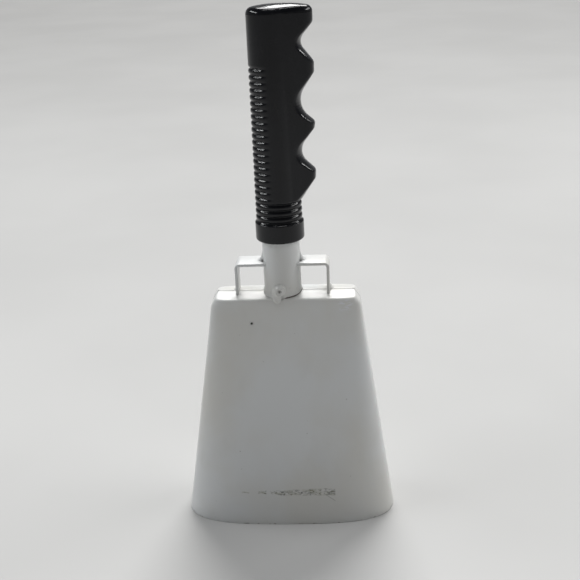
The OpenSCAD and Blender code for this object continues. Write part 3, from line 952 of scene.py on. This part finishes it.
def rounded_corner(a, b, c, radius, steps=10):
    """Arc that rounds b between a and c."""
    to_a, to_c = (a - b) / np.linalg.norm(a - b), (c - b) / np.linalg.norm(c - b)
    half = math.acos(np.clip(to_a @ to_c, -1, 1)) / 2
    centre = b + (to_a + to_c) / np.linalg.norm(to_a + to_c) * radius / math.sin(half)
    start = b + to_a * radius / math.tan(half) - centre
    end = b + to_c * radius / math.tan(half) - centre
    sweep_angle = math.acos(np.clip(start @ end / radius ** 2, -1, 1))
    sign = math.copysign(1, start[0] * end[1] - start[1] * end[0])
    found = []
    for step in range(steps + 1):
        angle = sign * sweep_angle * step / steps
        cos, sin = math.cos(angle), math.sin(angle)
        found.append(centre + [start[0] * cos - start[1] * sin, start[0] * sin + start[1] * cos])
    return found


def finger_reach(heights):
    """How far the finger side reaches from the grip's axis at each height."""
    points = [np.array([corner[0], corner[1]]) for corner in FINGERS]
    low_end = np.array([0.0, points[-1][1] - 6])
    line = [np.array([FINGERS[0][0], GRIP_TOP + 5])]
    for before, corner, after, finger in zip(points, points[1:], points[2:] + [low_end], FINGERS[1:]):
        line += rounded_corner(before, corner, after, finger[2])
    line.append(low_end)
    line = np.array(line)
    order = np.argsort(line[:, 1], kind="stable")
    return np.interp(heights, line[order, 1], line[order, 0])


def ridge_reach(turns):
    """Reach of the finger ridge's egg-shaped section along each direction from the axis."""
    splay = math.asin((SIDE_R - NOSE_R) / NOSE_X)
    found = []
    for turn in np.abs((turns + math.pi) % (2 * math.pi) - math.pi):
        if turn > math.pi / 2 - splay:
            found.append(SIDE_R - 3.0 * float(ramp(turn, math.pi / 2 - splay, math.pi)))
            continue
        flat = SIDE_R / math.cos(math.pi / 2 - splay - turn)
        inside = NOSE_R ** 2 - (NOSE_X * math.sin(turn)) ** 2
        nose = NOSE_X * math.cos(turn) + math.sqrt(inside) if inside > 0 else 1e9
        hit = np.array([math.cos(turn), math.sin(turn)]) * (nose if nose < 1e8 else 0)
        on_nose = nose < 1e8 and (hit - [NOSE_X, 0]) @ [math.sin(splay), math.cos(splay)] < (
            NOSE_R * 0.99999) and math.atan2(hit[1], hit[0] - NOSE_X) < math.pi / 2 - splay
        found.append(nose if on_nose else flat)
    return np.array(found)


def smooth_max(a, b, width):
    gap = np.clip(0.5 + 0.5 * (a - b) / width, 0, 1)
    return b * (1 - gap) + a * gap + width * gap * (1 - gap)


def smooth_min(a, b, width):
    return -smooth_max(-a, -b, width)


def grip_turns():
    """Directions round the grip, closer together at the parting lines."""
    even = np.linspace(-math.pi, math.pi, 252, endpoint=False)
    parting = math.radians(92.6)
    near = np.radians([-2.6, -1.7, -1.1, -0.6, 0, 0.6, 1.1, 1.7, 2.6])
    kept = [t for t in even if min(abs(abs(t) - parting), 9) > math.radians(3.0)]
    return np.sort(np.concatenate([kept, parting + near, -parting + near])), parting


def grip_heights():
    low = np.array([GRIP_Z + h for h in (0.0, 0.12, 0.3, 0.55, 0.85, 1.2)])
    collar = np.linspace(GRIP_Z + 2.2, COLLAR_TOP - 0.45, 9)
    step = np.array([COLLAR_TOP - h for h in (0.25, 0.1, 0.02)])
    phases = np.array([-0.5, -0.43, -0.37, -0.32, -0.27, -0.22, -0.17, -0.1, -0.05, 0.0,
                       0.05, 0.1, 0.17, 0.22, 0.27, 0.32, 0.37, 0.43])
    ribs = np.concatenate([FIRST_NOTCH + (number + phases) * RIB_PITCH for number in range(RIB_COUNT)])
    smooth = np.arange(ribs[-1] + 0.5, GRIP_TOP - 3.6, 0.55)
    return np.concatenate([low, collar, step, ribs[ribs > COLLAR_TOP + 0.05], smooth])


def rib_notch(phase):
    """Depth of a V notch with rounded edges, at a share of the pitch from its middle."""
    depth = 1.2 - abs(phase) / 0.25
    depth = smooth_max(np.array(depth), np.array(0.0), 0.55)
    return RIB_DEPTH * float(smooth_min(depth, np.array(1.0), 0.12))


def grip():
    """Collar and bore, ribs cut into the round side, finger grooves, domed top, parting lines."""
    turns, parting = grip_turns()
    heights = grip_heights()
    corner = 3.3
    top_angles = np.radians(np.linspace(0, 84, 15))
    dome = 0.95
    rows = list(heights) + list(GRIP_TOP - dome - corner + corner * np.sin(top_angles))
    drops = [0.0] * len(heights) + list(corner * (1 - np.cos(top_angles)))
    reach = finger_reach(np.array(rows))
    section = ridge_reach(turns)
    body = np.interp(rows, [COLLAR_TOP, GRIP_TOP], [BODY_LOW_R, BODY_TOP_R])
    rings = []
    for z, drop, finger, round_r in zip(rows, drops, reach, body):
        phase = (z - FIRST_NOTCH) / RIB_PITCH
        number = round(phase)
        notch = rib_notch(phase - number) if 0 <= number < RIB_COUNT else 0.0
        across = round_r * np.cos(turns)
        share = np.ones_like(turns) if number <= 3 else 1 - ramp(across, -8.2, -1.2)
        if z <= COLLAR_TOP:
            radius = np.full_like(turns, COLLAR_R)
            radius -= 1.2 - np.sqrt(np.maximum(1.2 ** 2 - max(GRIP_Z + 1.2 - z, 0) ** 2, 0))
            radius -= 0.35 * float(ramp(z, COLLAR_TOP - 0.3, COLLAR_TOP))
        else:
            ridge = smooth_min(section, np.full_like(turns, finger), 0.9)
            radius = smooth_max(np.full_like(turns, round_r), ridge, 0.35)
            radius -= notch * share * (0.97 + 0.06 * ripple_at(z, 1.0, 2.0))
        for angle in (parting, -parting):
            radius += 0.07 * np.exp(-((turns - angle) * round_r / 0.22) ** 2)
        rings.append(level_ring(radius - drop, turns, z))
    rim = rings[-1]
    rim_z = rim[0, 2]
    centre = np.array([4.2, 0])
    for share in np.linspace(0.94, 0.06, 12):
        ring = rim.copy()
        ring[:, :2] = (rim[:, :2] - centre) * share + centre
        ring[:, 2] = rim_z + (GRIP_TOP - rim_z) * (1 - share ** 2.4)
        rings.append(ring)
    bore = [level_ring(TUBE_R + gap, turns, GRIP_Z + rise)
            for gap, rise in ((0.02, 5), (0.02, 0.5), (0.25, 0.05), (0.6, 0))]
    verts, faces = loft([leaned(r) for r in bore + rings])
    return verts, faces


# ---- clapper ----

def hanger():
    """Staple of bent wire, its legs butted on the crown's underside."""
    wire = (HANGER_HIGH[1] - HANGER_LOW[1]) / 2
    leg = HANGER_HIGH[0] - wire
    bar_z = HANGER_LOW[2] + wire
    top = RIDGE_Z - SHEET + 0.3
    bend = 2.4
    right = [[leg, z] for z in np.linspace(top, bar_z + bend, 14)[:-1]]
    right += arc((leg - bend, bar_z + bend), bend, 0, -90, 12).tolist()
    left = [[-x, z] for x, z in right][::-1]
    middle = [[x, bar_z] for x in np.linspace(leg - bend, -(leg - bend), 22)[1:-1]]
    flat = np.array(right + middle + left)
    path = upright(flat, 1, 0.0)
    thin = wire * (1 - 0.03 * np.exp(-((flat[:, 0]) / 2.2) ** 2))
    return sweep(path, thin, sides=32)


def hanger_weld(sign, seed):
    """Fillet of weld round the top of a staple's leg."""
    wire = (HANGER_HIGH[1] - HANGER_LOW[1]) / 2
    leg = sign * (HANGER_HIGH[0] - wire)
    turns = circle(56)
    under = RIDGE_Z - SHEET
    rings = []
    for share in np.linspace(0, 1, 13):
        grow = (1 - math.sqrt(1 - share ** 2)) if share < 1 else 1.0
        radius = wire - 0.05 + 2.0 * grow
        z = under - 2.1 * (1 - share)
        points = level_ring(radius, turns, z) + [leg, 0, 0]
        bite = 0.16 * lumps(points, 1.2, seed, 2) * math.sin(math.pi * min(share + 0.15, 1))
        points[:, 0] += bite * np.cos(turns)
        points[:, 1] += bite * np.sin(turns)
        points[:, 2] -= (RIDGE_Z - crown_at(points[:, 1])) * share
        rings.append(points)
    lid = rings[-1].copy()
    lid[:, 2] += 0.3
    return loft(rings + [lid])


def link():
    """Closed ring, with the flattened butt where its ends were joined."""
    wire = (LINK_HIGH[0] - LINK_LOW[0]) / 2
    ring_r = (LINK_HIGH[2] - LINK_LOW[2]) / 2 - wire
    centre_z = (LINK_HIGH[2] + LINK_LOW[2]) / 2
    turns = circle(96)
    away = np.abs((turns - math.radians(8) + math.pi) % (2 * math.pi) - math.pi)
    size = wire * (0.985 - 0.09 * np.exp(-(away / 0.035) ** 2) + 0.012 * np.exp(-(away / 0.16) ** 2))
    path = np.stack([0 * turns, ring_r * np.cos(turns), centre_z + ring_r * np.sin(turns)], 1)
    return sweep(path, size, sides=28, closed=True)


def clapper_rod():
    """Rod bent into an eye at the top and peened over under the ball."""
    wire = ROD_R
    eye_r = ROD_HIGH[0] - wire
    eye_z = ROD_HIGH[2] - wire - eye_r
    neck = eye_z - eye_r
    loop = arc((0, eye_z), eye_r, -90, 252, 84)
    stem_z = np.linspace(ROD_LOW[2] + 2.2, neck - 0.9, 70)
    stem = np.stack([0 * stem_z, stem_z], 1)
    joint = bezier(np.array([0.0, neck - 0.9]), np.array([0.0, neck]), loop[7], 8)
    flat = np.vstack([stem, joint, loop[8:]])
    path = upright(flat, 1, 0.0)
    size = np.full(len(path), wire * 0.99)
    size[-4:] *= np.array([0.98, 0.94, 0.85, 0.66])
    return sweep(path, size, sides=28)


def peen():
    """Mushroomed end of the rod under the ball."""
    turns = circle(48)
    profile = ((0.5, 0.0), (1.1, 0.05), (1.7, 0.22), (2.1, 0.5),
               (2.32, 0.85), (2.34, 1.15), (2.2, 1.5), (1.4, 2.6))
    rings = []
    for radius, rise in profile:
        facet = 1 + 0.035 * np.cos(5 * turns + 1.0) + 0.02 * np.cos(9 * turns)
        rings.append(level_ring(radius * facet, turns, ROD_LOW[2] + 0.05 + rise))
    return loft(rings)


def ball():
    """Ball with a drilled flat at each pole and dents from striking the walls."""
    centre_z = (BALL_LOW[2] + BALL_HIGH[2]) / 2
    radius = (BALL_HIGH[0] - BALL_LOW[0]) / 2
    hole = 1.52
    turns = circle(96)
    edge = math.asin((hole + 0.35) / radius)
    rings = []
    for polar in np.linspace(edge, math.pi - edge, 60):
        across, up = radius * math.sin(polar), radius * math.cos(polar)
        rings.append(level_ring(across, turns, up))
    verts = np.concatenate(rings)
    unit = verts / np.linalg.norm(verts, axis=1)[:, None]
    rng = np.random.default_rng(7)
    for _ in range(16):
        spin, tilt = rng.uniform(0, 2 * math.pi), rng.normal(0, 0.3)
        level = math.cos(tilt)
        dent = np.array([math.cos(spin) * level, math.sin(spin) * level, math.sin(tilt)])
        size = rng.uniform(0.05, 0.13)
        depth = rng.uniform(0.04, 0.12)
        verts -= unit * (depth * np.exp(-(np.linalg.norm(unit - dent, axis=1) / size) ** 2))[:, None]
    rings = list(verts.reshape(len(rings), len(turns), 3))
    top = math.sqrt(radius ** 2 - hole ** 2)
    for end, place in ((1, 0), (-1, len(rings) + 1)):
        rings.insert(place, level_ring(hole, turns, end * (top - 0.35)))
    shift = np.array([0, 0, centre_z])
    verts, faces = loft([ring + shift for ring in rings])
    return verts, faces[:-2] + bridge_ends(len(turns), len(rings))


# ---- the whole object ----

def weld_piece(name, made, material, node, sharp=42):
    piece(name, made, "bell", [material], [node], sharp=sharp)


def build():
    outer, inner = shell_paint(), inner_paint()
    painted = steel_paint()
    weld = weld_paint()
    seam = raw_weld()
    for name, side in (("front_shell", -1), ("rear_shell", 1)):
        piece(name + "_skin", shell(side), "bell", [outer, inner], [name],
              material_of=inside_the_bell, sharp=55)
    for name, sign, seed in (("left_seam_weld", -1, 3.0), ("right_seam_weld", 1, 8.0)):
        low, high = box_mm(name)
        path = side_seam(sign, low[2] + 0.5, high[2] - 0.5)
        weld_piece(name + "_bead", bead(path, 1.55, 2.2, seed), seam, name)
    for name, sign, reach, height in (("left", -1, 1.7, 2.1), ("right", 1, 2.4, 3.2)):
        low, high = box_mm(f"{name}_crown_weld")
        near, far = sorted((abs(low[0]), abs(high[0])))
        path = crown_seam(sign, near + 0.4, far - 0.4)
        weld_piece(f"{name}_crown_weld_bead", bead(path, 1.45, 2.1, 5.0 + sign), seam,
                   f"{name}_crown_weld")
        piece(f"{name}_strap_strip", strap(sign), "bell", [painted], [f"{name}_strap"])
        weld_piece(f"{name}_strap_foot_fillet", foot_fillet(sign, 4.0 + sign, reach, height), weld,
                   f"{name}_strap_foot_weld")
        weld_piece(f"{name}_strap_top_fillet", top_fillet(sign, 9.0 + sign), weld,
                   f"{name}_strap_top_weld")
        weld_piece(f"{name}_hanger_fillet", hanger_weld(sign, 6.0 + sign), seam, f"{name}_hanger_weld")
    piece("handle_tube_wall", tube(), "bell", [painted], ["handle_tube"])
    front = tack((-2.7, 128.1), comma, lambda x, z: 0.95 + 1.45 * ramp(z, 123.5, 129.5), WallFront(),
                 pit=(-1.25, 130.0), seed=2.0)
    weld_piece("front_tube_tack", front, weld, "front_tube_weld", sharp=60)
    rear = tack((0.6, 127.6), lambda turn: 2.5 + 0.35 * math.sin(2 * turn + 0.6),
                lambda x, z: 1.7 + 0 * x, WallRear(), seed=5.0)
    weld_piece("rear_tube_tack", rear, weld, "rear_tube_weld", sharp=60)
    piece("grip_moulding", grip(), "bell", [vinyl()], ["grip"], sharp=60)
    wire, knob = plated(), ball_metal()
    piece("hanger_staple", hanger(), "bell", [painted], ["clapper_hanger"])
    piece("link_ring", link(), "link", [wire], ["clapper_link"])
    piece("clapper_rod_wire", clapper_rod(), "clapper", [wire], ["clapper_rod"])
    piece("clapper_rod_peen", peen(), "clapper", [wire])
    piece("clapper_ball_turned", ball(), "clapper", [knob], ["clapper_ball"])


# ---- stage ----

def floor():
    mesh = bpy.data.meshes.new("floor")
    steps = np.linspace(-9, 9, 19)
    verts = [(x, y, 0.0) for y in steps for x in steps]
    faces = [[r * 19 + c, r * 19 + c + 1, (r + 1) * 19 + c + 1, (r + 1) * 19 + c]
             for r in range(18) for c in range(18)]
    mesh.from_pydata(verts, [], faces)
    mesh.materials.append(floor_material())
    obj = put("floor", mesh)


def light(name, place, aim, size, power, colour):
    data = bpy.data.lights.new(name, "AREA")
    data.shape = "RECTANGLE"
    data.size, data.size_y = size
    data.energy = power
    data.color = colour
    obj = put(name, data)
    obj.location = place
    obj.rotation_euler = (Vector(aim) - Vector(place)).to_track_quat("-Z", "Y").to_euler()
    obj.visible_camera = False


def lights():
    """A wide soft sun from behind, a narrow lamp above, a window at each side, a dim room."""
    sun = bpy.data.lights.new("sky_behind", "SUN")
    sun.energy, sun.angle, sun.color = 3.4, math.radians(38), (1.0, 0.995, 0.985)
    obj = put("sky_behind", sun)
    obj.rotation_euler = Vector((-0.05, -0.68, -0.73)).to_track_quat("-Z", "Y").to_euler()
    light("lamp_above", (0.05, 0.0, 2.0), (0.05, 0.0, 0.1), (1.1, 0.14), 7, (1.0, 1.0, 1.0))
    light("window_left", (-1.30, 0.0, 1.10), (0, 0, 0.2), (1.3, 0.10), 8, (0.97, 0.99, 1.0))
    light("window_right", (1.35, 0.25, 1.0), (0, 0, 0.2), (1.3, 0.14), 9, (1.0, 1.0, 1.0))
    world = bpy.data.worlds.new("studio")
    world.use_nodes = True
    tree = world.node_tree
    up = tree.nodes.new("ShaderNodeSeparateXYZ")
    tree.links.new(tree.nodes.new("ShaderNodeTexCoord").outputs["Generated"], up.inputs[0])
    fade = tree.nodes.new("ShaderNodeMapRange")
    fade.interpolation_type = "SMOOTHSTEP"
    for name, value in (("From Min", 0.0), ("From Max", 0.45), ("To Min", 0.27), ("To Max", 0.07)):
        fade.inputs[name].default_value = value
    tree.links.new(up.outputs["Z"], fade.inputs["Value"])
    tree.links.new(fade.outputs[0], tree.nodes["Background"].inputs["Strength"])
    tree.nodes["Background"].inputs["Color"].default_value = (0.95, 0.97, 1.0, 1)
    bpy.context.scene.world = world


def camera():
    data = bpy.data.cameras.new("camera")
    data.lens, data.sensor_width = 61.6, 36
    data.clip_start, data.clip_end = 0.01, 60
    obj = put("camera", data)
    turn = (
        Matrix.Rotation(math.radians(3.23), 4, "Z")
        @ Matrix.Rotation(math.radians(90 - 22.17), 4, "X")
        @ Matrix.Rotation(math.radians(-2.27), 4, "Z")
    )
    obj.matrix_world = Matrix.Translation((0.0303, -0.4752, 0.3204)) @ turn
    bpy.context.scene.camera = obj


camera()
build()
floor()
lights()
bpy.context.scene.view_settings.view_transform = "Standard"
bpy.context.view_layer.update()
